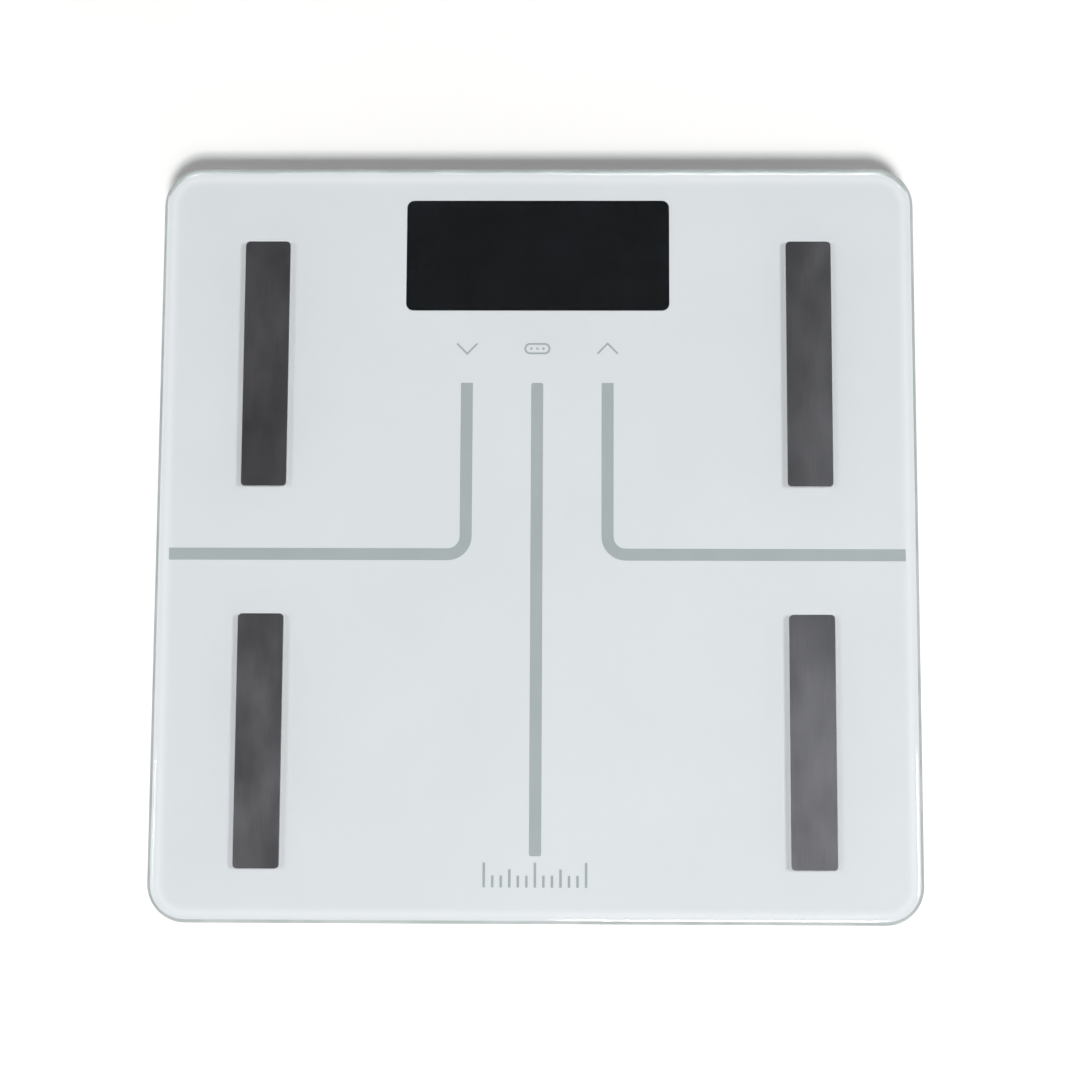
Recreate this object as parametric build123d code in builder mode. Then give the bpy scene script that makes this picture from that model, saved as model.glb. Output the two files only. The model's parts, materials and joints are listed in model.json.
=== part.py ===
from build123d import *
import os

os.makedirs("parts", exist_ok=True)

# Digital bathroom scale. Millimetres, +Z up, origin on the floor under the middle of the plate.
# +Y is the display side, -Y is the side the user steps on from.

# heights above the floor
tray_low = 4.0
tray_floor = 6.2
brim_low = 16.4
tray_high = 18.0
tape_high = 18.75
print_high = 18.95
glass_low = 19.0
glass_high = 25.0
glue_high = 25.1
electrode_high = 25.5

# glass platform
plate_side = 300.0
plate_corner = 15.0
plate_edge = 2.3

# print behind the glass
print_side = 299.0
print_corner = 14.5
line_width = 4.8
centre_line_top = 63.0
centre_line_foot = -124.0
side_line_x = 28.0
side_line_y = -5.95
side_line_end = 145.2
side_line_bend = 7.2
window_width = 105.3
window_height = 45.3
window_corner = 3.0
window_y = 115.05
key_x = 28.0
key_y = 76.9
key_stroke = 0.75
tick_y = -131.2
tick_count = 13
tick_pitch = 3.3
tick_width = 1.0

# electrodes
electrode_width = 18.0
electrode_length = 99.3
electrode_corner = 1.8
electrode_x = 107.8
rear_electrode_y = 70.05
front_electrode_y = -79.7
rear_stud_y = 36.0
front_stud_y = -46.0
stud_radius = 1.5
stud_hole_radius = 3.0

# base tray
body_low_half = 134.0
body_low_corner = 22.0
body_high_half = 140.0
body_high_corner = 28.0
brim_half = 143.5
brim_corner = 31.5
wall = 2.4

# feet
foot_centre = 103.0
well_side = 42.0
well_corner = 12.0
well_wall = 2.2
well_ceiling = 14.2
rim_high = 0.6
cell_side = 32.0
cell_low = 9.9
cell_high = 11.9
retainer_low = 7.2
web_high = 8.2
cap_radius = 18.0
cap_low = 1.0
cap_high = 6.4
pad_radius = 15.0
pad_high = 1.8
stem_radius = 6.5
barb_radius = 9.2

# battery box
box_half_x = 17.6
box_y_low = -35.0
box_y_high = 15.0
box_wall = 1.6
box_ceiling = 17.0
door_half_x = 22.0
door_y_low = -41.0
door_y_high = 20.6
door_high = 5.6
door_gap = 0.3
cell_pitch = 11.4
battery_radius = 5.25
battery_length = 43.4
battery_z = 11.3

# board and display
board_low = 10.6
board_high = 12.2
board_half_x = 56.0
board_y_low = 68.0
board_y_high = 130.0
lcd_y = 113.2
connector_low_x = 50.0
connector_high_x = 55.0
port_z = 14.3
button_x = 36.0
button_y = 84.0

sides = {"left": -1, "right": 1}
ends = {"front": -1, "rear": 1}
stud_points = [
    (sx * electrode_x, sy)
    for sx in (-1, 1)
    for sy in (front_stud_y, rear_stud_y)
]
foot_points = [(sx * foot_centre, sy * foot_centre) for sx in (-1, 1) for sy in (-1, 1)]
screw_points = [(-44, 71.5), (44, 71.5), (-46, 89.2), (46, 89.2)]
rest_points = [(-40, 122), (40, 122)]


def save(builder, label):
    builder.part.label = label
    export_step(builder.part, "parts/" + label + ".step")


def guide_lines():
    """Draws the centre line and the two bent side lines into the open sketch."""
    line_middle = (centre_line_top + centre_line_foot) / 2
    line_run = centre_line_top - centre_line_foot
    with Locations((0, line_middle)):
        RectangleRounded(line_width, line_run, 1.0)
    for s in (-1, 1):
        with BuildLine(mode=Mode.PRIVATE) as run:
            FilletPolyline(
                (s * side_line_x, centre_line_top),
                (s * side_line_x, side_line_y),
                (s * side_line_end, side_line_y),
                radius=side_line_bend,
            )
        trace(run.wires()[0], line_width)


def key_marks():
    """Draws the down, menu and up marks into the open sketch."""
    for s, way in ((-1, -1), (1, 1)):
        with BuildLine(mode=Mode.PRIVATE) as chevron:
            Polyline(
                (s * key_x - 4.1, key_y - way * 2.1),
                (s * key_x, key_y + way * 2.1),
                (s * key_x + 4.1, key_y - way * 2.1),
            )
        trace(chevron.wires()[0], key_stroke)
    with Locations((0, key_y)):
        SlotOverall(10.4, 4.6)
        SlotOverall(10.4 - 2 * key_stroke, 4.6 - 2 * key_stroke, mode=Mode.SUBTRACT)
    with Locations((-2.4, key_y), (0, key_y), (2.4, key_y)):
        Circle(0.5)


def tick_marks():
    """Draws the small graduated scale that stands at the near edge."""
    for i in range(tick_count):
        x = (i - (tick_count - 1) / 2) * tick_pitch
        height = 9.6 if i % 6 == 0 else (7.0 if i % 3 == 0 else 4.6)
        with Locations((x, tick_y - 4.8 + height / 2)):
            Rectangle(tick_width, height)


# glass platform, drilled under the electrodes
with BuildPart() as glass_platform:
    with BuildSketch(Plane.XY.offset(glass_low)):
        RectangleRounded(plate_side, plate_side, plate_corner)
        with Locations(*stud_points):
            Circle(stud_hole_radius, mode=Mode.SUBTRACT)
    extrude(amount=glass_high - glass_low)
    outline = [
        e for e in glass_platform.edges()
        if e.length > 20 and abs(e.center().Z - glass_low) % (glass_high - glass_low) < 0.01
    ]
    fillet(outline, plate_edge)
save(glass_platform, "glass_platform")

# pale print layer with everything that shows through it cut out
with BuildPart() as print_backing:
    with BuildSketch(Plane.XY.offset(tape_high)):
        RectangleRounded(print_side, print_side, print_corner)
        with Locations((0, window_y)):
            RectangleRounded(window_width, window_height, window_corner, mode=Mode.SUBTRACT)
        with Locations(*stud_points):
            Circle(stud_hole_radius + 1.0, mode=Mode.SUBTRACT)
        with BuildSketch(mode=Mode.SUBTRACT):
            guide_lines()
        with BuildSketch(mode=Mode.SUBTRACT):
            key_marks()
        with BuildSketch(mode=Mode.SUBTRACT):
            tick_marks()
    extrude(amount=print_high - tape_high)
save(print_backing, "print_backing")

with BuildPart() as print_guide_lines:
    with BuildSketch(Plane.XY.offset(tape_high)):
        guide_lines()
    extrude(amount=print_high - tape_high)
save(print_guide_lines, "print_guide_lines")

with BuildPart() as print_key_marks:
    with BuildSketch(Plane.XY.offset(tape_high)):
        key_marks()
    extrude(amount=print_high - tape_high)
save(print_key_marks, "print_key_marks")

with BuildPart() as print_tick_mark:
    with BuildSketch(Plane.XY.offset(tape_high)):
        tick_marks()
    extrude(amount=print_high - tape_high)
save(print_tick_mark, "print_tick_mark")

with BuildPart() as display_window:
    with BuildSketch(Plane.XY.offset(tape_high)):
        with Locations((0, window_y)):
            RectangleRounded(window_width, window_height, window_corner)
    extrude(amount=print_high - tape_high)
save(display_window, "display_window")

# electrode strips, each with a welded stud through the glass
for side_name, sx in sides.items():
    for end_name, middle_y, stud_y in (
        ("front", front_electrode_y, front_stud_y),
        ("rear", rear_electrode_y, rear_stud_y),
    ):
        with BuildPart() as electrode:
            with BuildSketch(Plane.XY.offset(glue_high)):
                with Locations((sx * electrode_x, middle_y)):
                    RectangleRounded(electrode_width, electrode_length, electrode_corner)
            extrude(amount=electrode_high - glue_high)
            fillet(electrode.edges().group_by(Axis.Z)[-1], 0.2)
            with BuildSketch(Plane.XY.offset(glue_high)):
                with Locations((sx * electrode_x, stud_y)):
                    Circle(stud_radius)
            extrude(amount=-(glue_high - 13.6))
        save(electrode, "electrode_" + end_name + "_" + side_name)

with BuildPart() as electrode_adhesive_pads:
    with BuildSketch(Plane.XY.offset(glass_high + 0.02)):
        for sx in (-1, 1):
            for middle_y in (front_electrode_y, rear_electrode_y):
                with Locations((sx * electrode_x, middle_y)):
                    RectangleRounded(electrode_width - 0.8, electrode_length - 0.8, 1.4)
        with Locations(*stud_points):
            Circle(stud_hole_radius, mode=Mode.SUBTRACT)
    extrude(amount=glue_high - glass_high - 0.02)
save(electrode_adhesive_pads, "electrode_adhesive_pads")

with BuildPart() as stud_washers:
    with BuildSketch(Plane.XY.offset(17.75)):
        with Locations(*stud_points):
            Circle(5.2)
            Circle(stud_radius + 0.05, mode=Mode.SUBTRACT)
    extrude(amount=1.25)
    with BuildSketch(Plane.XY.offset(tape_high)):
        with Locations(*stud_points):
            Circle(5.6)
            Circle(stud_hole_radius + 0.9, mode=Mode.SUBTRACT)
    extrude(amount=print_high - tape_high + 0.1, mode=Mode.SUBTRACT)
save(stud_washers, "stud_washers")

with BuildPart() as electrode_terminals:
    with BuildSketch(Plane.XY.offset(17.15)):
        with Locations(*stud_points):
            Circle(3.6)
        for x, y in stud_points:
            inward = -1 if x > 0 else 1
            with Locations((x + inward * 5.0, y)):
                Rectangle(6.0, 2.6)
        with Locations(*stud_points):
            Circle(stud_radius + 0.05, mode=Mode.SUBTRACT)
    extrude(amount=0.6)
save(electrode_terminals, "electrode_terminals")

with BuildPart() as electrode_nuts:
    with BuildSketch(Plane.XY.offset(14.75)):
        with Locations(*stud_points):
            RegularPolygon(3.1, 6)
            Circle(stud_radius + 0.03, mode=Mode.SUBTRACT)
    extrude(amount=2.4)
save(electrode_nuts, "electrode_nuts")

# closed ring of foam tape that holds the glass on the tray
with BuildPart() as bond_tape:
    with BuildSketch(Plane.XY.offset(tray_high)):
        RectangleRounded(2 * brim_half - 0.6, 2 * brim_half - 0.6, brim_corner - 0.3)
        RectangleRounded(276.0, 276.0, 26.0, mode=Mode.SUBTRACT)
    extrude(amount=tape_high - tray_high)
save(bond_tape, "bond_tape")

# moulded tray: shell, brim, wells, battery box, posts and ribs
with BuildPart() as base_tray:
    with BuildSketch(Plane.XY.offset(tray_low)):
        RectangleRounded(2 * body_low_half, 2 * body_low_half, body_low_corner)
    with BuildSketch(Plane.XY.offset(brim_low)):
        RectangleRounded(2 * body_high_half, 2 * body_high_half, body_high_corner)
    loft()
    fillet(base_tray.edges().group_by(Axis.Z)[0], 2.0)
    with BuildSketch(Plane.XY.offset(brim_low)):
        RectangleRounded(2 * brim_half, 2 * brim_half, brim_corner)
    extrude(amount=tray_high - brim_low)
    fillet(base_tray.edges().group_by(Axis.Z)[-1], 0.5)
    with BuildSketch(Plane.XY.offset(tray_floor)):
        RectangleRounded(2 * (body_low_half - wall + 1), 2 * (body_low_half - wall + 1), 20.6)
    with BuildSketch(Plane.XY.offset(tray_high)):
        RectangleRounded(2 * (body_high_half - wall), 2 * (body_high_half - wall), 25.6)
    loft(mode=Mode.SUBTRACT)
    # foot wells stand up from the floor
    with BuildSketch(Plane.XY.offset(tray_low + 1)):
        with Locations(*foot_points):
            RectangleRounded(well_side + 2 * well_wall, well_side + 2 * well_wall, 14.2)
    extrude(amount=well_ceiling + 2 - tray_low - 1)
    with BuildSketch(Plane.XY.offset(tray_low)):
        with Locations(*foot_points):
            RectangleRounded(well_side, well_side, well_corner)
    extrude(amount=well_ceiling - tray_low, mode=Mode.SUBTRACT)
    # low rim round the mouth of each well
    with BuildSketch(Plane.XY.offset(tray_low)):
        with Locations(*foot_points):
            RectangleRounded(well_side + 2.4, well_side + 2.4, well_corner + 1.2)
            RectangleRounded(well_side, well_side, well_corner, mode=Mode.SUBTRACT)
    extrude(amount=-rim_high)
    # ledge that each load cell bears on
    with BuildSketch(Plane.XY.offset(cell_high)):
        with Locations(*foot_points):
            RectangleRounded(well_side, well_side, well_corner)
            RectangleRounded(cell_side - 5, cell_side - 5, 3, mode=Mode.SUBTRACT)
    extrude(amount=well_ceiling - cell_high)
    # passage for the lead of each load cell
    for x, y in foot_points:
        inward = -1 if x > 0 else 1
        with BuildSketch(Plane.XY.offset(cell_high - 0.8)):
            with Locations((x + inward * 19.5, y)):
                Rectangle(15, 3.4)
        extrude(amount=well_ceiling - cell_high + 0.8, mode=Mode.SUBTRACT)
    # battery box with its thick floor frame
    with BuildSketch(Plane.XY.offset(tray_floor - 0.2)):
        with Locations((0, (door_y_low + door_y_high) / 2)):
            RectangleRounded(2 * door_half_x + 8, door_y_high - door_y_low + 10, 4)
    extrude(amount=1.4)
    box_middle = (box_y_low + box_y_high) / 2
    box_run = box_y_high - box_y_low
    with BuildSketch(Plane.XY.offset(tray_floor)):
        with Locations((0, box_middle)):
            RectangleRounded(2 * (box_half_x + box_wall), box_run + 2 * box_wall, 1.5)
    extrude(amount=box_ceiling + 1.2 - tray_floor)
    with BuildSketch(Plane.XY.offset(tray_low)):
        with Locations((0, box_middle)):
            Rectangle(2 * box_half_x, box_run)
    extrude(amount=box_ceiling - tray_low, mode=Mode.SUBTRACT)
    # recess, hook pockets and finger notch for the battery door
    with BuildSketch(Plane.XY.offset(tray_low)):
        with Locations((0, (door_y_low + door_y_high) / 2)):
            RectangleRounded(
                2 * (door_half_x + door_gap), door_y_high - door_y_low + 2 * door_gap, 2.3
            )
    extrude(amount=door_high - tray_low, mode=Mode.SUBTRACT)
    with BuildSketch(Plane.XY.offset(tray_low + 0.8)):
        with Locations((-12, 20.6), (12, 20.6)):
            Rectangle(8.8, 4.0)
    extrude(amount=2.0, mode=Mode.SUBTRACT)
    with BuildSketch(Plane.XY.offset(tray_low)):
        with Locations((0, -42.2)):
            RectangleRounded(10.8, 3.6, 0.6)
    extrude(amount=3.1, mode=Mode.SUBTRACT)
    # slots that carry the battery contact tails out of the box
    with BuildSketch(Plane.XY.offset(tray_floor + 2)):
        with Locations((-cell_pitch, box_y_high + 0.8), (cell_pitch, box_y_high + 0.8)):
            Rectangle(3.0, 2.0)
    extrude(amount=2.4, mode=Mode.SUBTRACT)
    # posts under the main board, pilot holes for its screws
    with BuildSketch(Plane.XY.offset(tray_floor - 0.5)):
        with Locations(*screw_points, *rest_points):
            Circle(3.1)
    extrude(amount=board_low - tray_floor + 0.5)
    with BuildSketch(Plane.XY.offset(board_low)):
        with Locations(*screw_points):
            Circle(1.0)
    extrude(amount=-4.0, mode=Mode.SUBTRACT)
    # round hole and sunk ring for the unit button
    with BuildSketch(Plane.XY.offset(tray_low)):
        with Locations((button_x, button_y)):
            Circle(5.0)
    extrude(amount=tray_floor - tray_low + 0.1, mode=Mode.SUBTRACT)
    # stiffening ribs
    with BuildSketch(Plane.XY.offset(tray_floor - 0.2)):
        with Locations((-60, -30), (60, -30)):
            Rectangle(1.6, 180)
        with Locations((-30, -118), (30, -118)):
            Rectangle(1.6, 20)
        with Locations((0, -100), (0, -60)):
            Rectangle(120, 1.6)
        with Locations((-36.7, 44), (36.7, 44)):
            Rectangle(46.6, 1.6)
        with Locations((0, 44)):
            Rectangle(18, 1.6)
        with Locations((-41.5, -20), (41.5, -20), (-41.5, 8), (41.5, 8)):
            Rectangle(37, 1.6)
        with Locations((-30, -80), (0, -80), (30, -80)):
            Rectangle(1.6, 40)
    extrude(amount=4.4)
    # cable clips beside the outer ribs
    for s in (-1, 1):
        for clip_y in (-70, -16, 20):
            with BuildSketch(Plane.XY.offset(tray_floor - 0.2)):
                with Locations((s * 71.6, clip_y), (s * 76.4, clip_y)):
                    Rectangle(1.6, 5)
            extrude(amount=3.4)
    # raised outline round the battery door
    with BuildSketch(Plane.XY.offset(tray_low)):
        with Locations((0, (door_y_low + door_y_high) / 2)):
            RectangleRounded(2 * door_half_x + 8, door_y_high - door_y_low + 12, 4)
            RectangleRounded(
                2 * door_half_x + 5.6, door_y_high - door_y_low + 9.6, 2.8, mode=Mode.SUBTRACT
            )
    extrude(amount=-rim_high)
    # blank rating label sits in a shallow recess
    with BuildSketch(Plane.XY.offset(tray_low)):
        with Locations((0, -84)):
            RectangleRounded(76.6, 36.6, 2.3)
    extrude(amount=0.3, mode=Mode.SUBTRACT)
save(base_tray, "base_tray")

with BuildPart() as rating_label:
    with BuildSketch(Plane.XY.offset(tray_low + 0.1)):
        with Locations((0, -84)):
            RectangleRounded(76.0, 36.0, 2.0)
    extrude(amount=0.2)
save(rating_label, "rating_label")

# main board and what stands on it
with BuildPart() as main_board:
    with BuildSketch(Plane.XY.offset(board_low)):
        with Locations((0, (board_y_low + board_y_high) / 2)):
            RectangleRounded(2 * board_half_x, board_y_high - board_y_low, 2.0)
        with Locations(*screw_points):
            Circle(1.3, mode=Mode.SUBTRACT)
    extrude(amount=board_high - board_low)
save(main_board, "main_board")

with BuildPart() as board_screws:
    with BuildSketch(Plane.XY.offset(board_high)):
        with Locations(*screw_points):
            Circle(2.3)
    extrude(amount=1.2)
    fillet(board_screws.edges().group_by(Axis.Z)[-1], 0.5)
    with BuildSketch(Plane.XY.offset(board_high + 1.2)):
        with Locations(*screw_points):
            Rectangle(2.2, 0.5)
            Rectangle(0.5, 2.2)
    extrude(amount=-0.6, mode=Mode.SUBTRACT)
    with BuildSketch(Plane.XY.offset(board_high)):
        with Locations(*screw_points):
            Circle(0.98)
    extrude(amount=-5.2)
save(board_screws, "board_screws")

with BuildPart() as controller_chip:
    with BuildSketch(Plane.XY.offset(board_high + 0.1)):
        with Locations((-14, 85.4)):
            Rectangle(10, 10)
    extrude(amount=1.4)
    chamfer(controller_chip.edges().group_by(Axis.Z)[-1], 0.3)
    with BuildSketch(Plane.XY.offset(board_high)):
        for i in range(8):
            step = (i - 3.5) * 1.1
            with Locations((-14 + step, 85.4)):
                Rectangle(0.4, 12.4)
            with Locations((-14, 85.4 + step)):
                Rectangle(12.4, 0.4)
    extrude(amount=0.3)
save(controller_chip, "controller_chip")

with BuildPart() as lead_connectors:
    with BuildSketch(Plane.XY.offset(board_high)):
        with Locations((-52.5, 80.5), (52.5, 80.5)):
            Rectangle(5.0, 16.0)
    extrude(amount=4.2)
    fillet(lead_connectors.edges().group_by(Axis.Z)[-1], 0.4)
save(lead_connectors, "lead_connectors")

with BuildPart() as lcd_holder:
    with BuildSketch(Plane.XY.offset(board_high)):
        with Locations((0, lcd_y)):
            RectangleRounded(108.0, 41.4, 1.5)
            Rectangle(104.8, 38.2, mode=Mode.SUBTRACT)
    extrude(amount=18.55 - board_high)
save(lcd_holder, "lcd_holder")

with BuildPart() as lcd_backlight:
    with BuildSketch(Plane.XY.offset(12.5)):
        with Locations((0, lcd_y + 1.5)):
            Rectangle(102.0, 34.0)
    extrude(amount=2.8)
save(lcd_backlight, "lcd_backlight")

with BuildPart() as lcd_module:
    with BuildSketch(Plane.XY.offset(15.4)):
        with Locations((0, lcd_y)):
            Rectangle(104.2, 37.6)
    extrude(amount=1.3)
    with BuildSketch(Plane.XY.offset(16.7)):
        with Locations((0, lcd_y + 1.5)):
            Rectangle(104.2, 34.6)
    extrude(amount=1.3)
save(lcd_module, "lcd_module")

with BuildPart() as lcd_contact_strip:
    with BuildSketch(Plane.XY.offset(board_high)):
        with Locations((0, 95.7)):
            Rectangle(88.0, 1.8)
    extrude(amount=15.4 - board_high)
save(lcd_contact_strip, "lcd_contact_strip")

for key_name, x in (("down", -key_x), ("menu", 0.0), ("up", key_x)):
    with BuildPart() as touch_pad:
        with BuildSketch(Plane.XY.offset(board_high)):
            with Locations((x, key_y)):
                Circle(5.0)
        extrude(amount=0.6)
        with BuildSketch(Plane.XY.offset(board_high + 0.6)):
            with Locations((x, key_y)):
                Circle(3.6)
        extrude(amount=18.7 - board_high - 0.6)
    save(touch_pad, "touch_pad_" + key_name)

# unit button and its switch
with BuildPart() as unit_button:
    with BuildSketch(Plane.XY.offset(4.3)):
        with Locations((button_x, button_y)):
            Circle(4.6)
    extrude(amount=2.2)
    fillet(unit_button.edges().group_by(Axis.Z)[0], 0.5)
    with BuildSketch(Plane.XY.offset(6.5)):
        with Locations((button_x, button_y)):
            Circle(6.2)
    extrude(amount=0.5)
    with BuildSketch(Plane.XY.offset(4.3)):
        with Locations((button_x, button_y)):
            Circle(2.6)
            Circle(2.0, mode=Mode.SUBTRACT)
    extrude(amount=0.3, mode=Mode.SUBTRACT)
save(unit_button, "unit_button")

with BuildPart() as unit_switch:
    with BuildSketch(Plane.XY.offset(8.4)):
        with Locations((button_x, button_y)):
            Rectangle(6.2, 6.2)
    extrude(amount=board_low - 8.4)
    with BuildSketch(Plane.XY.offset(7.8)):
        with Locations((button_x, button_y)):
            Circle(1.75)
    extrude(amount=0.6)
save(unit_switch, "unit_switch")

# battery door: panel, two hooks, latch tongue, grip slots and an arrow
with BuildPart() as battery_door:
    with BuildSketch(Plane.XY.offset(tray_low)):
        with Locations((0, (door_y_low + door_y_high) / 2)):
            RectangleRounded(2 * door_half_x, door_y_high - door_y_low, 2.0)
    extrude(amount=door_high - tray_low)
    with BuildSketch(Plane.XY.offset(tray_low + 1.1)):
        with Locations((-12, 20.4), (12, 20.4)):
            Rectangle(8.0, 3.6)
    extrude(amount=0.8)
    with BuildSketch(Plane.XY.offset(tray_low)):
        with Locations((0, -41.6)):
            RectangleRounded(9.0, 2.0, 0.4)
    extrude(amount=2.6)
    with BuildSketch(Plane.XY.offset(tray_low)):
        for i in range(5):
            with Locations((0, -36.5 + i * 1.8)):
                SlotOverall(14.0, 0.8)
        with Locations((0, -24.0)):
            Triangle(a=7.0, b=6.0, c=6.0, rotation=180)
    extrude(amount=0.35, mode=Mode.SUBTRACT)
    with BuildSketch(Plane.XY.offset(door_high)):
        with Locations((-5.7, -10), (5.7, -10)):
            Rectangle(1.0, 36)
    extrude(amount=0.8)
save(battery_door, "battery_door")

# three AAA cells, alternate ways round
for i in range(3):
    x = (i - 1) * cell_pitch
    way = -1 if i == 1 else 1
    flat_y = box_middle - way * (box_run / 2 - 4.8)
    with BuildPart() as battery:
        with BuildSketch(Plane(origin=(x, flat_y, battery_z), z_dir=(0, way, 0))):
            Circle(battery_radius)
        extrude(amount=battery_length)
        fillet(battery.edges(), 0.5)
        with BuildSketch(
            Plane(origin=(x, flat_y + way * battery_length, battery_z), z_dir=(0, way, 0))
        ):
            Circle(1.9)
        extrude(amount=1.0)
    save(battery, "battery_" + str(i + 1))

with BuildPart() as battery_contact_plates:
    for end, spans in ((1, ((-cell_pitch, 9.0), (cell_pitch / 2, 20.4))),
                       (-1, ((-cell_pitch / 2, 20.4), (cell_pitch, 9.0)))):
        wall_y = box_middle + end * box_run / 2
        for x, width in spans:
            with BuildSketch(Plane.XZ.offset(-(wall_y - (0.5 if end > 0 else 0.0)))):
                with Locations((x, battery_z)):
                    Rectangle(width, 8.6)
            extrude(amount=-0.5)
    for x in (-cell_pitch, cell_pitch):
        with BuildSketch(Plane.XY.offset(tray_floor + 2.4)):
            with Locations((x, box_y_high + 1.2)):
                Rectangle(1.6, 3.4)
        extrude(amount=0.5)
save(battery_contact_plates, "battery_contact_plates")

with BuildPart() as battery_springs:
    for i in range(3):
        x = (i - 1) * cell_pitch
        way = -1 if i == 1 else 1
        root_y = box_middle - way * (box_run / 2 - 0.72)
        with BuildSketch(Plane.YZ.offset(x - 3)):
            with BuildLine(mode=Mode.PRIVATE) as leaf:
                FilletPolyline(
                    (root_y, battery_z - 3.4),
                    (root_y + way * 4.3, battery_z),
                    (root_y, battery_z + 3.4),
                    radius=1.5,
                )
            trace(leaf.wires()[0], 0.35)
        extrude(amount=6)
save(battery_springs, "battery_springs")

# feet: load cell, gauge, retainer, cap and pad
with BuildPart() as load_cell_retainers:
    with BuildSketch(Plane.XY.offset(retainer_low)):
        with Locations(*foot_points):
            RectangleRounded(well_side - 0.4, well_side - 0.4, well_corner - 0.2)
            Circle(8.0, mode=Mode.SUBTRACT)
    extrude(amount=cell_low - retainer_low)
    fillet(load_cell_retainers.edges().group_by(Axis.Z)[0], 0.4)
    with BuildSketch(Plane.XY.offset(web_high)):
        with Locations(*foot_points):
            Circle(11.0)
    extrude(amount=cell_low - web_high, mode=Mode.SUBTRACT)
save(load_cell_retainers, "load_cell_retainers")

for side_name, sx in sides.items():
    for end_name, sy in ends.items():
        place = "_" + end_name + "_" + side_name
        x = sx * foot_centre
        y = sy * foot_centre

        with BuildPart() as load_cell:
            with BuildSketch(Plane.XY.offset(cell_low)):
                with Locations((x, y)):
                    RectangleRounded(cell_side, cell_side, 5.0)
                    RectangleRounded(20.0, 24.0, 1.0, mode=Mode.SUBTRACT)
                with Locations((x, y + 1.5)):
                    RectangleRounded(13.0, 22.5, 1.0)
            extrude(amount=cell_high - cell_low)
            with BuildSketch(Plane.XY.offset(cell_low)):
                with Locations((x - 13, y - 12), (x + 13, y - 12), (x - 13, y + 12), (x + 13, y + 12)):
                    Circle(1.2)
            extrude(amount=cell_high - cell_low, mode=Mode.SUBTRACT)
        save(load_cell, "load_cell" + place)

        with BuildPart() as foot_cap:
            with BuildSketch(Plane.XY.offset(cap_low)):
                with Locations((x, y)):
                    Circle(cap_radius)
            extrude(amount=cap_high - cap_low)
            fillet(foot_cap.edges().group_by(Axis.Z)[0], 1.2)
            with BuildSketch(Plane.XY.offset(cap_low)):
                with Locations((x, y)):
                    Circle(pad_radius + 0.2)
            extrude(amount=pad_high - cap_low, mode=Mode.SUBTRACT)
            with BuildSketch(Plane.XY.offset(cap_high)):
                with Locations((x, y)):
                    Circle(stem_radius)
            extrude(amount=9.1 - cap_high)
            with BuildSketch(Plane.XY.offset(8.5)):
                with Locations((x, y)):
                    Circle(barb_radius)
            extrude(amount=0.6)
            with BuildSketch(Plane.XY.offset(cap_high)):
                with Locations((x, y)):
                    Circle(15.5)
                    Circle(9.0, mode=Mode.SUBTRACT)
            extrude(amount=-2.6, mode=Mode.SUBTRACT)
        save(foot_cap, "foot_cap" + place)

        with BuildPart() as foot_pad:
            with BuildSketch(Plane.XY):
                with Locations((x, y)):
                    Circle(pad_radius)
            extrude(amount=pad_high)
            fillet(foot_pad.edges().group_by(Axis.Z)[0], 0.5)
            with BuildSketch(Plane.XY):
                with Locations((x, y)):
                    Circle(11.0)
                    Circle(10.0, mode=Mode.SUBTRACT)
                    Circle(6.5)
                    Circle(5.5, mode=Mode.SUBTRACT)
            extrude(amount=0.4, mode=Mode.SUBTRACT)
        save(foot_pad, "foot_pad" + place)

with BuildPart() as strain_gauges:
    with BuildSketch(Plane.XY.offset(cell_high)):
        for x, y in foot_points:
            inward = -1 if x > 0 else 1
            with Locations((x + inward * 1.5, y)):
                RectangleRounded(9.0, 7.0, 2.0)
    extrude(amount=0.9)
    fillet(strain_gauges.edges().group_by(Axis.Z)[-1], 0.5)
save(strain_gauges, "strain_gauges")


def lead(points, radii, thickness, label):
    """Sweeps one round lead along straight runs joined by tangent arcs."""
    with BuildPart() as cord:
        with BuildLine() as run:
            FilletPolyline(*points, radius=radii)
        start = run.line @ 0
        with BuildSketch(Plane(origin=start, z_dir=run.line % 0)):
            Circle(thickness)
        sweep(path=run.wires()[0])
    save(cord, label)


for side_name, s in sides.items():
    rear_cell = [(92.5, 103, 13.0), (72, 103, 13.0), (66, 86.5, port_z), (55, 86.5, port_z)]
    front_cell = [
        (92.5, -103, 13.0), (80, -103, 13.0), (74, -103, 7.2), (74, 74, 7.2),
        (66, 82.5, port_z), (55, 82.5, port_z),
    ]
    rear_strip = [
        (100.2, 36, 16.4), (86, 36, 16.4), (79, 36, 8.6), (79, 66, 8.6),
        (68, 78.5, port_z), (55, 78.5, port_z),
    ]
    front_strip = [
        (100.2, -46, 16.4), (77, -46, 16.4), (68, -46, 8.6), (68, 60, 8.6),
        (65, 74.5, port_z), (55, 74.5, port_z),
    ]
    for points, radii, thickness, name in (
        (rear_cell, [7, 7], 0.9, "load_cell_lead_rear_"),
        (front_cell, [5, 5, 5, 5], 0.9, "load_cell_lead_front_"),
        (rear_strip, [5, 5, 5, 5], 0.7, "electrode_lead_rear_"),
        (front_strip, [5, 5, 5, 5], 0.7, "electrode_lead_front_"),
    ):
        run_points = [(s * x, y, z) for x, y, z in points]
        lead(run_points, radii, thickness, name + side_name)

for name, x in (("battery_lead_plus", cell_pitch), ("battery_lead_minus", -cell_pitch)):
    run_points = [(x, 18.0, 8.85), (x, 50, 8.85), (x, 60, 13.2), (x, 71, 13.2)]
    lead(run_points, [6, 6], 0.7, name)
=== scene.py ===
import json
import math

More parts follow.
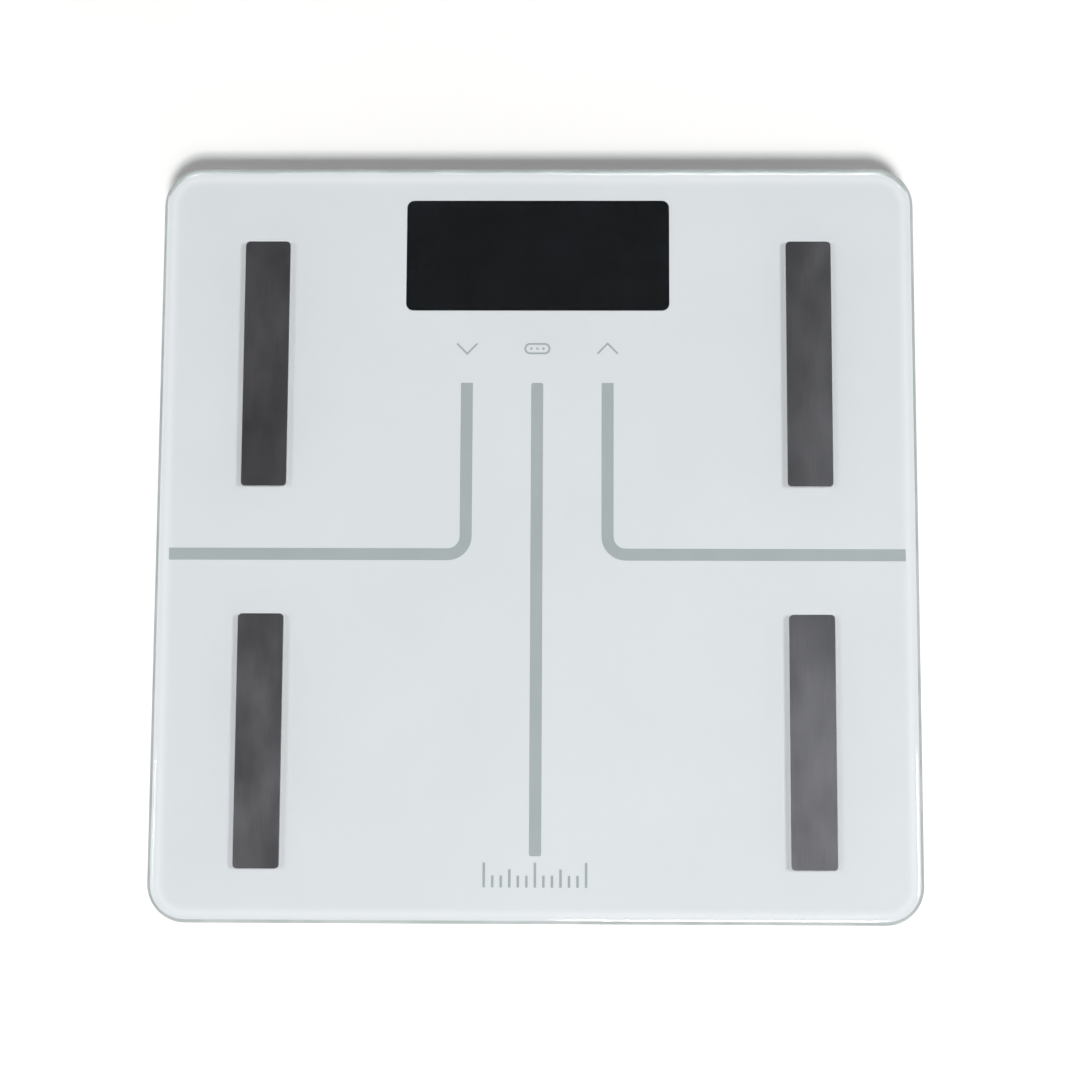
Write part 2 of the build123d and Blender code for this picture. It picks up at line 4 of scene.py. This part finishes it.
import bmesh
import bpy
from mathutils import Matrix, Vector


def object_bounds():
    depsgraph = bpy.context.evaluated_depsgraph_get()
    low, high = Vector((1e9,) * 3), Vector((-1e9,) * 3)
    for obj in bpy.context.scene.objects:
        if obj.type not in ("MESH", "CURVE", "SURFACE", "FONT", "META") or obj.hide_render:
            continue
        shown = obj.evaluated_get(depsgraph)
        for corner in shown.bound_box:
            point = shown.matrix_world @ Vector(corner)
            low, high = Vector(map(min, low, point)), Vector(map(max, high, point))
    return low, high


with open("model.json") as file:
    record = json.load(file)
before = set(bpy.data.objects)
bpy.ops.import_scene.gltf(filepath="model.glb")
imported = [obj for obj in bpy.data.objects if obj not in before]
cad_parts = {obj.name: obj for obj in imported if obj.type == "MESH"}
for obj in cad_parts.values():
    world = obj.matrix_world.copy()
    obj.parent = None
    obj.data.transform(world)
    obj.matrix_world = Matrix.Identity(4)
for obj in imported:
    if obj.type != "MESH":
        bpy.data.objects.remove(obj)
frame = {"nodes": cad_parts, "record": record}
cad_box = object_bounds()

MM = 0.001

# camera: almost overhead, a little towards the user's side and to the right
CAMERA_PLACE = Vector((17.7, -139.1, 987.1)) * MM
CAMERA_TILT = (8.181, 0.958, 0.128)
CAMERA_LENS = 82.5
CAMERA_SENSOR = 36.0
CAMERA_NEAR = 0.01
CAMERA_FAR = 50.0

# plate outline, the finish of its edge, and a painted glow on the print near the rim that stands in
# for light let in through the plate's edge
PLATE_HALF = cad_box[1][0]
PLATE_CORNER = 15.0 * MM
EDGE_WIDTH = 1.3 * MM
EDGE_DARK = (0.251, 0.277, 0.273)
EDGE_LIGHT = (0.309, 0.334, 0.331)
EDGE_CLEARNESS = 0.4
RIM_GLOW_START = 7.0 * MM
RIM_GLOW_END = 1.0 * MM
RIM_GLOW_PEAK = 0.6
RIM_GLOW_LAST = 0.35
RIM_GLOW_COLOUR = (0.550, 0.539, 0.564)
GLASS_IOR = 1.5
GLASS_COLOUR = (0.97, 0.985, 0.98, 1.0)
GLASS_TINT = (0.93, 0.95, 0.945, 1.0)

# light
KEY_PLACE = Vector((0.34, -2.32, 3.47))
KEY_SIZE = 0.7
KEY_POWER = 165.0
KEY_COLOUR = (1.0, 0.99, 0.975)
FILL_PLACE = Vector((0.72, -0.1, 2.15))
BACK_FILL_PLACE = Vector((-0.72, -0.1, 2.15))
FILL_SIZE = 0.3
FILL_POWER = 26.0
BACK_FILL_POWER = 13.0
SHEEN_PLACE = Vector((1.25, -0.1, 1.75))
SHEEN_SIZE = 0.9
SHEEN_POWER = 10.0
COOL_COLOUR = (0.96, 0.985, 1.0)

# sky brightness, and how far up it stays at the horizon's level or reaches the zenith's
SKY_HORIZON = 0.85
SKY_ZENITH = 0.05
SKY_LOW = 0.35
SKY_HIGH = 0.85

FLOOR_RADIUS = 6.0
FLOOR_SEGMENTS = 96
FLOOR_DROP = 0.02 * MM

# sockets of the Mix node, which share their names between data types
FLOAT_A, FLOAT_B, FLOAT_RESULT = 2, 3, 0
COLOUR_A, COLOUR_B, COLOUR_RESULT = 6, 7, 2

NODE_SPACING = 200


def node(tree, kind, **values):
    """Adds a shader node; each value is one of its attributes, or else an input by name."""
    made = tree.nodes.new(kind)
    made.location.x = NODE_SPACING * len(tree.nodes)
    for name, value in values.items():
        if hasattr(made, name):
            setattr(made, name, value)
        else:
            made.inputs[name.replace("_", " ")].default_value = value
    return made


def grey(value):
    return (value, value, value, 1.0)


def blank_material(name):
    """A material with an output and one Principled shader."""
    made = bpy.data.materials.new(name)
    made.use_nodes = True
    tree = made.node_tree
    tree.nodes.clear()
    out = node(tree, "ShaderNodeOutputMaterial")
    shader = node(tree, "ShaderNodeBsdfPrincipled")
    tree.links.new(shader.outputs["BSDF"], out.inputs["Surface"])
    return made, tree, shader


def stretched_noise(tree, scale, stretch=(1.0, 1.0, 1.0), detail=4.0):
    """Noise in the object's own metres, drawn out by different amounts along each axis."""
    coords = node(tree, "ShaderNodeTexCoord")
    mapping = node(tree, "ShaderNodeMapping", Scale=stretch)
    noise = node(tree, "ShaderNodeTexNoise", Scale=scale, Detail=detail)
    tree.links.new(coords.outputs["Object"], mapping.inputs["Vector"])
    tree.links.new(mapping.outputs["Vector"], noise.inputs["Vector"])
    return noise.outputs["Fac"]


def colour_ramp(tree, source, dark, light, low=0.35, high=0.65):
    """Dark below low, light above high, blended between."""
    ramp = node(tree, "ShaderNodeValToRGB")
    first, last = ramp.color_ramp.elements
    first.position = low
    first.color = (*dark, 1.0)
    last.position = high
    last.color = (*light, 1.0)
    tree.links.new(source, ramp.inputs["Fac"])
    return ramp.outputs["Color"]


def remap(tree, source, low, high, from_low=0.3, from_high=0.7):
    made = node(tree, "ShaderNodeMapRange",
                From_Min=from_low, From_Max=from_high, To_Min=low, To_Max=high)
    tree.links.new(source, made.inputs["Value"])
    return made.outputs["Result"]


def raise_surface(tree, shader, height, depth, strength):
    """Bump from a noise; depth in millimetres."""
    bump = node(tree, "ShaderNodeBump", Strength=strength, Distance=depth * MM)
    tree.links.new(height, bump.inputs["Height"])
    tree.links.new(bump.outputs["Normal"], shader.inputs["Normal"])


def grainy(name, dark, light, patch=60.0, grain=2500.0, depth=0.02, strength=0.25,
           rough=(0.4, 0.55), **constants):
    """Soft colour patches, uneven gloss and a fine raised grain."""
    made, tree, shader = blank_material(name)
    ramp = colour_ramp(tree, stretched_noise(tree, patch), dark, light)
    gloss = remap(tree, stretched_noise(tree, patch * 4.0), *rough)
    fine = stretched_noise(tree, grain, detail=2.0)
    raise_surface(tree, shader, fine, depth, strength)
    tree.links.new(ramp, shader.inputs["Base Color"])
    tree.links.new(gloss, shader.inputs["Roughness"])
    for socket, value in constants.items():
        shader.inputs[socket.replace("_", " ")].default_value = value
    return made


def let_lamps_through(tree, shader):
    """Glass that lamps and bounced light pass straight through, so that what is under it stays lit."""
    path = node(tree, "ShaderNodeLightPath")
    either = node(tree, "ShaderNodeMath", operation="MAXIMUM")
    clear = node(tree, "ShaderNodeBsdfTransparent", Color=GLASS_TINT)
    mix = node(tree, "ShaderNodeMixShader")
    out = tree.nodes["Material Output"]
    tree.links.new(path.outputs["Is Shadow Ray"], either.inputs[0])
    tree.links.new(path.outputs["Is Diffuse Ray"], either.inputs[1])
    tree.links.new(either.outputs["Value"], mix.inputs["Fac"])
    tree.links.new(shader.outputs["BSDF"], mix.inputs[1])
    tree.links.new(clear.outputs["BSDF"], mix.inputs[2])
    tree.links.new(mix.outputs["Shader"], out.inputs["Surface"])


def clear_glass(name):
    """Tempered plate: refracts what is under it, with faint smears in its gloss."""
    made, tree, shader = blank_material(name)
    shader.inputs["Base Color"].default_value = GLASS_COLOUR
    shader.inputs["Transmission Weight"].default_value = 1.0
    shader.inputs["IOR"].default_value = GLASS_IOR
    smears = stretched_noise(tree, 14.0, (1.0, 1.6, 1.0))
    film = remap(tree, smears, 0.0, 0.006, from_low=0.45, from_high=0.8)
    tree.links.new(film, shader.inputs["Roughness"])
    let_lamps_through(tree, shader)
    return made


def ground_edge(name):
    """The plate's rounded edge: ground glass, milky and dull, that scatters the light."""
    made, tree, shader = blank_material(name)
    shader.inputs["Transmission Weight"].default_value = EDGE_CLEARNESS
    shader.inputs["IOR"].default_value = GLASS_IOR
    patches = stretched_noise(tree, 90.0, detail=0.0)
    ramp = colour_ramp(tree, patches, EDGE_DARK, EDGE_LIGHT)
    gloss = remap(tree, stretched_noise(tree, 220.0, detail=0.0), 0.29, 0.35)
    tree.links.new(ramp, shader.inputs["Base Color"])
    tree.links.new(gloss, shader.inputs["Roughness"])
    let_lamps_through(tree, shader)
    return made


def edge_distance(tree, start, end):
    """0 over the middle of the plate, rising to 1 from start to end along its rounded outline."""
    inner = PLATE_HALF - PLATE_CORNER
    coords = node(tree, "ShaderNodeTexCoord")
    fold = node(tree, "ShaderNodeVectorMath", operation="ABSOLUTE")
    inset = node(tree, "ShaderNodeVectorMath", operation="SUBTRACT")
    inset.inputs[1].default_value = (inner, inner, 1.0)
    clip = node(tree, "ShaderNodeVectorMath", operation="MAXIMUM")
    clip.inputs[1].default_value = (0.0, 0.0, 0.0)
    reach = node(tree, "ShaderNodeVectorMath", operation="LENGTH")
    rise = node(tree, "ShaderNodeMapRange", interpolation_type="SMOOTHSTEP",
                From_Min=PLATE_CORNER - start, From_Max=PLATE_CORNER - end)
    tree.links.new(coords.outputs["Object"], fold.inputs[0])
    tree.links.new(fold.outputs["Vector"], inset.inputs[0])
    tree.links.new(inset.outputs["Vector"], clip.inputs[0])
    tree.links.new(clip.outputs["Vector"], reach.inputs[0])
    tree.links.new(reach.outputs["Value"], rise.inputs["Value"])
    return rise.outputs["Result"]


def paint_rim_glow(material):
    """Paints the print paler in a band near the rim of the plate: a painted glow that stands in for
    light let in through the plate's edge.
    """
    tree = material.node_tree
    shader = next(n for n in tree.nodes if n.type == "BSDF_PRINCIPLED")
    ink = shader.inputs["Base Color"].links[0].from_socket
    # how much of the painted rim glow is mixed in, by distance from the plate's rim
    glow_share = node(tree, "ShaderNodeValToRGB")
    glow_share.color_ramp.elements[0].color = grey(0.0)
    glow_share.color_ramp.elements[1].color = grey(RIM_GLOW_LAST)
    glow_share.color_ramp.elements.new(RIM_GLOW_PEAK).color = grey(1.0)
    mix = node(tree, "ShaderNodeMix", data_type="RGBA")
    mix.inputs[COLOUR_B].default_value = (*RIM_GLOW_COLOUR, 1.0)
    tree.links.new(edge_distance(tree, RIM_GLOW_START, RIM_GLOW_END), glow_share.inputs["Fac"])
    tree.links.new(glow_share.outputs["Color"], mix.inputs["Factor"])
    tree.links.new(ink, mix.inputs[COLOUR_A])
    tree.links.new(mix.outputs[COLOUR_RESULT], shader.inputs["Base Color"])
    return material


def brushed_steel(name, dark, light, along, rough=(0.3, 0.45), patch=90.0,
                  stretch=(1.0, 0.45, 1.0)):
    """Fine parallel brush lines with cloudy patches; along is the brushing axis, 0 x or 1 y."""
    made, tree, shader = blank_material(name)
    shader.inputs["Metallic"].default_value = 1.0
    shader.inputs["Anisotropic"].default_value = 0.35
    across = node(tree, "ShaderNodeCombineXYZ")
    across.inputs[1 - along].default_value = 1.0
    tree.links.new(across.outputs["Vector"], shader.inputs["Tangent"])
    line_stretch = [1.0, 1.0, 1.0]
    line_stretch[along] = 0.02
    lines = stretched_noise(tree, 4200.0, line_stretch, detail=3.0)
    clouds = stretched_noise(tree, patch, stretch, detail=5.0)
    weigh = node(tree, "ShaderNodeMix", data_type="FLOAT", Factor=0.55)
    tree.links.new(lines, weigh.inputs[FLOAT_A])
    tree.links.new(clouds, weigh.inputs[FLOAT_B])
    ramp = colour_ramp(tree, weigh.outputs[FLOAT_RESULT], dark, light, low=0.36, high=0.64)
    tree.links.new(ramp, shader.inputs["Base Color"])
    tree.links.new(remap(tree, clouds, *rough), shader.inputs["Roughness"])
    raise_surface(tree, shader, lines, depth=0.004, strength=0.4)
    return made


def make_materials():
    """One finished material per slot of the record."""
    return {
        "clear_glass": clear_glass("clear_glass"),
        "ground_edge": ground_edge("ground_edge"),
        # the print's paler band near the rim is painted light, a glow standing in for light let in
        # through the plate's edge
        "pale_print": paint_rim_glow(grainy(
            "pale_print", (0.480, 0.473, 0.498), (0.491, 0.483, 0.508), patch=25.0,
            grain=1800.0, depth=0.004, rough=(0.45, 0.6), Specular_IOR_Level=0.1)),
        "grey_print": grainy(
            "grey_print", (0.256, 0.273, 0.280), (0.267, 0.283, 0.290), patch=80.0,
            grain=1800.0, depth=0.004, rough=(0.45, 0.6), Specular_IOR_Level=0.1),
        "key_print": grainy(
            "key_print", (0.237, 0.259, 0.263), (0.251, 0.273, 0.277), patch=80.0,
            grain=1800.0, depth=0.004, rough=(0.45, 0.6), Specular_IOR_Level=0.1),
        "dark_window": grainy(
            "dark_window", (0.0035, 0.004, 0.005), (0.005, 0.006, 0.0075), patch=40.0,
            grain=900.0, depth=0.002, rough=(0.3, 0.4), Specular_IOR_Level=0.05),
        "electrode_steel": brushed_steel(
            "electrode_steel", (0.215, 0.215, 0.23), (0.26, 0.26, 0.276), along=1,
            rough=(0.34, 0.42), patch=60.0, stretch=(1.0, 0.5, 1.0)),
        "cell_steel": brushed_steel("cell_steel", (0.42, 0.42, 0.42), (0.6, 0.6, 0.6), along=0),
        "zinc_steel": brushed_steel("zinc_steel", (0.5, 0.51, 0.53), (0.68, 0.69, 0.7), along=0),
        "contact_nickel": brushed_steel(
            "contact_nickel", (0.55, 0.54, 0.5), (0.75, 0.74, 0.7), along=1, rough=(0.15, 0.3)),
        "tinned_brass": brushed_steel(
            "tinned_brass", (0.5, 0.47, 0.38), (0.68, 0.65, 0.55), along=0, rough=(0.2, 0.35)),
        "adhesive": grainy("adhesive", (0.4, 0.4, 0.38), (0.5, 0.5, 0.48), rough=(0.3, 0.5)),
        "white_nylon": grainy("white_nylon", (0.68, 0.67, 0.61), (0.76, 0.75, 0.7)),
        "foam_tape": grainy(
            "foam_tape", (0.02, 0.02, 0.02), (0.045, 0.045, 0.045), grain=1500.0, depth=0.12,
            strength=0.7, rough=(0.8, 0.95)),
        "tray_plastic": grainy(
            "tray_plastic", (0.70, 0.715, 0.72), (0.76, 0.77, 0.775), patch=18.0, grain=2200.0,
            depth=0.05, strength=0.45, rough=(0.42, 0.6)),
        "door_plastic": grainy(
            "door_plastic", (0.67, 0.69, 0.695), (0.73, 0.745, 0.75), patch=18.0, grain=2200.0,
            depth=0.05, strength=0.45, rough=(0.4, 0.58)),
        "retainer_plastic": grainy(
            "retainer_plastic", (0.62, 0.64, 0.645), (0.69, 0.7, 0.71), patch=30.0, grain=2200.0,
            depth=0.04, strength=0.4, rough=(0.42, 0.6)),
        "cap_plastic": grainy(
            "cap_plastic", (0.60, 0.62, 0.63), (0.68, 0.69, 0.7), patch=30.0, grain=2200.0,
            depth=0.04, strength=0.4, rough=(0.4, 0.58)),
        "holder_plastic": grainy("holder_plastic", (0.6, 0.6, 0.58), (0.7, 0.7, 0.68)),
        "button_plastic": grainy(
            "button_plastic", (0.11, 0.12, 0.13), (0.15, 0.16, 0.17), patch=120.0, grain=2600.0,
            depth=0.04, strength=0.4, rough=(0.38, 0.52)),
        "switch_plastic": grainy("switch_plastic", (0.01, 0.01, 0.011), (0.02, 0.02, 0.021)),
        "diffuser_plastic": grainy(
            "diffuser_plastic", (0.75, 0.78, 0.8), (0.82, 0.85, 0.87), rough=(0.2, 0.3)),
        "lcd_glass": grainy("lcd_glass", (0.01, 0.012, 0.012), (0.02, 0.023, 0.023),
                            rough=(0.08, 0.14)),
        "strip_rubber": grainy("strip_rubber", (0.42, 0.4, 0.37), (0.5, 0.48, 0.44),
                               rough=(0.6, 0.8)),
        "conductive_foam": grainy(
            "conductive_foam", (0.02, 0.02, 0.022), (0.05, 0.05, 0.055), grain=1200.0,
            depth=0.1, strength=0.7, rough=(0.75, 0.95)),
        "gauge_seal": grainy("gauge_seal", (0.7, 0.7, 0.68), (0.8, 0.8, 0.78), rough=(0.3, 0.5)),
        "pad_rubber": grainy(
            "pad_rubber", (0.018, 0.018, 0.019), (0.04, 0.04, 0.042), patch=90.0, grain=1600.0,
            depth=0.06, strength=0.55, rough=(0.62, 0.85)),
        "label_film": grainy(
            "label_film", (0.56, 0.575, 0.59), (0.62, 0.63, 0.645), patch=30.0, grain=1500.0,
            depth=0.01, rough=(0.28, 0.42)),
        "circuit_board": grainy(
            "circuit_board", (0.008, 0.055, 0.025), (0.015, 0.085, 0.04), rough=(0.3, 0.45)),
        "chip_epoxy": grainy("chip_epoxy", (0.008, 0.008, 0.009), (0.018, 0.018, 0.02)),
        "cell_sleeve": grainy(
            "cell_sleeve", (0.03, 0.045, 0.06), (0.05, 0.07, 0.09), rough=(0.25, 0.4)),
        "red_wire": grainy("red_wire", (0.28, 0.01, 0.01), (0.38, 0.02, 0.02), rough=(0.4, 0.6)),
        "black_wire": grainy("black_wire", (0.008,) * 3, (0.02,) * 3, rough=(0.4, 0.6)),
        "grey_wire": grainy("grey_wire", (0.14,) * 3, (0.19,) * 3, rough=(0.4, 0.6)),
        "white_wire": grainy("white_wire", (0.6,) * 3, (0.7,) * 3, rough=(0.4, 0.6)),
    }


def dress_nodes(materials):
    """Gives every CAD node the finish of its slot."""
    for part in frame["record"]["subparts"]:
        thing = frame["nodes"][part["node"]]
        thing.data.materials.clear()
        thing.data.materials.append(materials[part["material_slot"]])


def grind_edge(finish):
    """Puts the ground finish on the faces of the plate's rounded edge."""
    plate = frame["nodes"]["glass_platform"].data
    plate.materials.append(finish)
    inner = PLATE_HALF - PLATE_CORNER
    for face in plate.polygons:
        past_x = max(abs(face.center.x) - inner, 0.0)
        past_y = max(abs(face.center.y) - inner, 0.0)
        if math.hypot(past_x, past_y) > PLATE_CORNER - EDGE_WIDTH:
            face.material_index = 1


def make_camera():
    lens = bpy.data.cameras.new("camera")
    lens.lens = CAMERA_LENS
    lens.sensor_width = CAMERA_SENSOR
    lens.clip_start = CAMERA_NEAR
    lens.clip_end = CAMERA_FAR
    made = bpy.data.objects.new("camera", lens)
    made.location = CAMERA_PLACE
    made.rotation_mode = "ZYX"
    made.rotation_euler = [math.radians(a) for a in CAMERA_TILT]
    bpy.context.scene.collection.objects.link(made)
    bpy.context.scene.camera = made


def area_light(name, place, size, power, colour):
    """A square lamp that faces the middle of the plate."""
    lamp = bpy.data.lights.new(name, "AREA")
    lamp.shape = "SQUARE"
    lamp.size = size
    lamp.energy = power
    lamp.color = colour
    made = bpy.data.objects.new(name, lamp)
    made.location = place
    made.rotation_euler = (-place).to_track_quat("-Z", "Y").to_euler()
    bpy.context.scene.collection.objects.link(made)
    return made


def linked_group(lamp, things, state):
    """A collection for light linking, whose objects a lamp includes or excludes."""
    group = bpy.data.collections.new(lamp.name + "_linked")
    for thing in things:
        group.objects.link(thing)
    for item in group.collection_objects:
        item.light_linking.link_state = state
    return group


def make_lamps(floor):
    strips = [thing for name, thing in frame["nodes"].items() if name.startswith("electrode_")]
    unfilled = strips + [frame["nodes"]["display_window"], floor]

    # the key throws no hard second edge of the strips on the print below the glass
    key = area_light("key", KEY_PLACE, KEY_SIZE, KEY_POWER, KEY_COLOUR)
    key.light_linking.blocker_collection = linked_group(key, strips, "EXCLUDE")

    # the fills leave a narrow soft band beside each strip, and no glare or second floor shadow
    fill = area_light("fill", FILL_PLACE, FILL_SIZE, FILL_POWER, COOL_COLOUR)
    fill.light_linking.receiver_collection = linked_group(fill, unfilled, "EXCLUDE")
    back = area_light("back_fill", BACK_FILL_PLACE, FILL_SIZE, BACK_FILL_POWER, COOL_COLOUR)
    back.light_linking.receiver_collection = linked_group(back, unfilled, "EXCLUDE")

    # the sheen lights the strips alone
    sheen = area_light("sheen", SHEEN_PLACE, SHEEN_SIZE, SHEEN_POWER, COOL_COLOUR)
    sheen.light_linking.receiver_collection = linked_group(sheen, strips, "INCLUDE")


def make_world():
    """A plain studio: bright near the horizon, dim overhead."""
    world = bpy.data.worlds.new("studio")
    bpy.context.scene.world = world
    world.use_nodes = True
    tree = world.node_tree
    tree.nodes.clear()
    out = node(tree, "ShaderNodeOutputWorld")
    sky = node(tree, "ShaderNodeBackground")
    coords = node(tree, "ShaderNodeTexCoord")
    split = node(tree, "ShaderNodeSeparateXYZ")
    tree.links.new(coords.outputs["Generated"], split.inputs["Vector"])
    ramp = colour_ramp(tree, split.outputs["Z"], (SKY_HORIZON,) * 3, (SKY_ZENITH,) * 3,
                       low=SKY_LOW, high=SKY_HIGH)
    tree.links.new(ramp, sky.inputs["Color"])
    tree.links.new(sky.outputs["Background"], out.inputs["Surface"])


def make_floor():
    """A wide pale floor that carries no horizon line near the object."""
    mesh = bpy.data.meshes.new("floor")
    work = bmesh.new()
    bmesh.ops.create_circle(work, cap_ends=True, segments=FLOOR_SEGMENTS, radius=FLOOR_RADIUS)
    work.to_mesh(mesh)
    work.free()
    made = bpy.data.objects.new("floor", mesh)
    made.location.z = -FLOOR_DROP
    bpy.context.scene.collection.objects.link(made)
    mesh.materials.append(grainy(
        "studio_floor", (0.955, 0.955, 0.955), (0.975, 0.975, 0.975), patch=3.0, grain=300.0,
        depth=0.02, rough=(0.7, 0.85)))
    return made


materials = make_materials()
dress_nodes(materials)
grind_edge(materials["ground_edge"])
make_camera()
make_world()
make_lamps(make_floor())
bpy.context.scene.view_settings.view_transform = "Standard"
